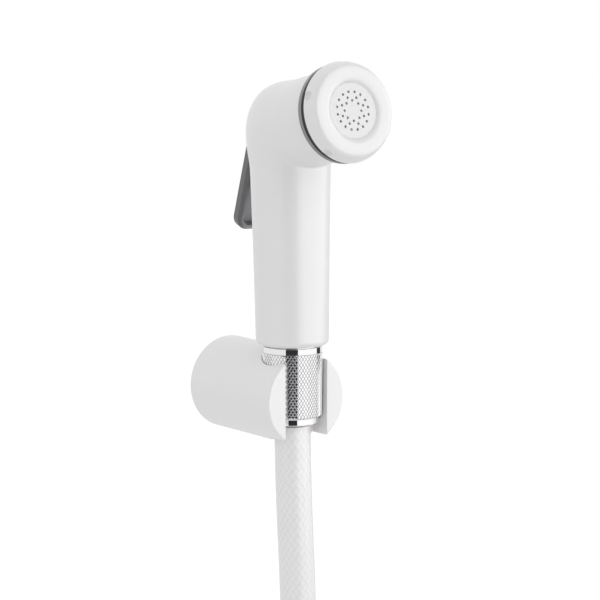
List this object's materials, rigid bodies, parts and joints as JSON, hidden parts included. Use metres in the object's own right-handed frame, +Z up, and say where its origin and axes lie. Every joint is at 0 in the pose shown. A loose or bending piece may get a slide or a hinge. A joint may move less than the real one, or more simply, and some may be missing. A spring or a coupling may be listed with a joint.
{
  "type": "handheld bidet shower",
  "caption": "Trigger bidet spray with a perforated head, resting by its knurled nut in a round wall holder, on a woven hose put away in a coil.",
  "frame": {"origin": "centre of the holder's back face, on the wall, on the wall screw's axis", "axes": "+Z up, +Y into the wall, -Y into the room, +X to the right as seen from the room"},
  "size_m": [0.1684, 0.0929, 0.4508],
  "materials": {
    "white_plastic": "moulded, glossy white",
    "holder_plastic": "moulded, satin white",
    "plate_plastic": "satin white",
    "lever_plastic": "dark grey, fine grain",
    "trim_grey": "grey metal ring",
    "black_rubber": "smooth black",
    "chrome": "polished chrome with a knurled grip",
    "brass": "turned",
    "steel": "turned stainless steel",
    "hose_weave": "white woven sheath over a plastic hose",
    "strap": "white hook-and-loop strap",
    "bracket_plastic": "moulded, light grey"
  },
  "bodies": {
    "holder_and_handset": {"wall_bracket": "bracket_plastic", "holder_body": "holder_plastic", "grub_screw": "steel", "handle_body": "white_plastic", "inlet_insert": "brass", "inlet_washer": "black_rubber", "lever_pin": "steel", "gland_nut": "brass", "stem_seal": "black_rubber", "valve_seat": "brass", "valve_spring": "steel", "trim_ring": "trim_grey", "cap_gasket": "black_rubber", "spray_cap": "white_plastic", "spray_plate": "plate_plastic", "flow_diffuser": "bracket_plastic", "conical_nut": "chrome", "hose_tail": "brass", "hose_upper": "hose_weave", "hose_coil": "hose_weave", "hose_lower": "hose_weave", "hose_tie": "strap", "end_ferrule": "chrome", "end_tail": "brass", "end_washer": "black_rubber"},
    "lever": {"trigger_lever": "lever_plastic"},
    "stem": {"valve_stem": "steel", "valve_disc": "black_rubber"},
    "end_union": {"end_nut": "chrome"}
  },
  "joints": [
    {"name": "trigger_swing", "type": "hinge", "parent": "holder_and_handset", "child": "lever", "pos_m": [0.00065, -0.03152, 0.1035], "axis": [-0.9989, 0.0471, 0], "range_deg": [0, 10], "stiffness_Nm_per_rad": 0.6, "springref_deg": -6.88},
    {"name": "stem_slide", "type": "slide", "parent": "holder_and_handset", "child": "stem", "axis": [-0.0471, -0.9989, 0], "range_m": [0, 0.0039], "deforming": ["valve_spring"]},
    {"name": "union_turn", "type": "hinge", "parent": "holder_and_handset", "child": "end_union", "pos_m": [0.08357, -0.07908, -0.31894], "axis": [0.0416, -0.0111, -0.9991], "continuous": true}
  ],
  "couplings": [
    {"joint": "stem_slide", "follows": "trigger_swing", "m_per_rad": 0.022}
  ]
}
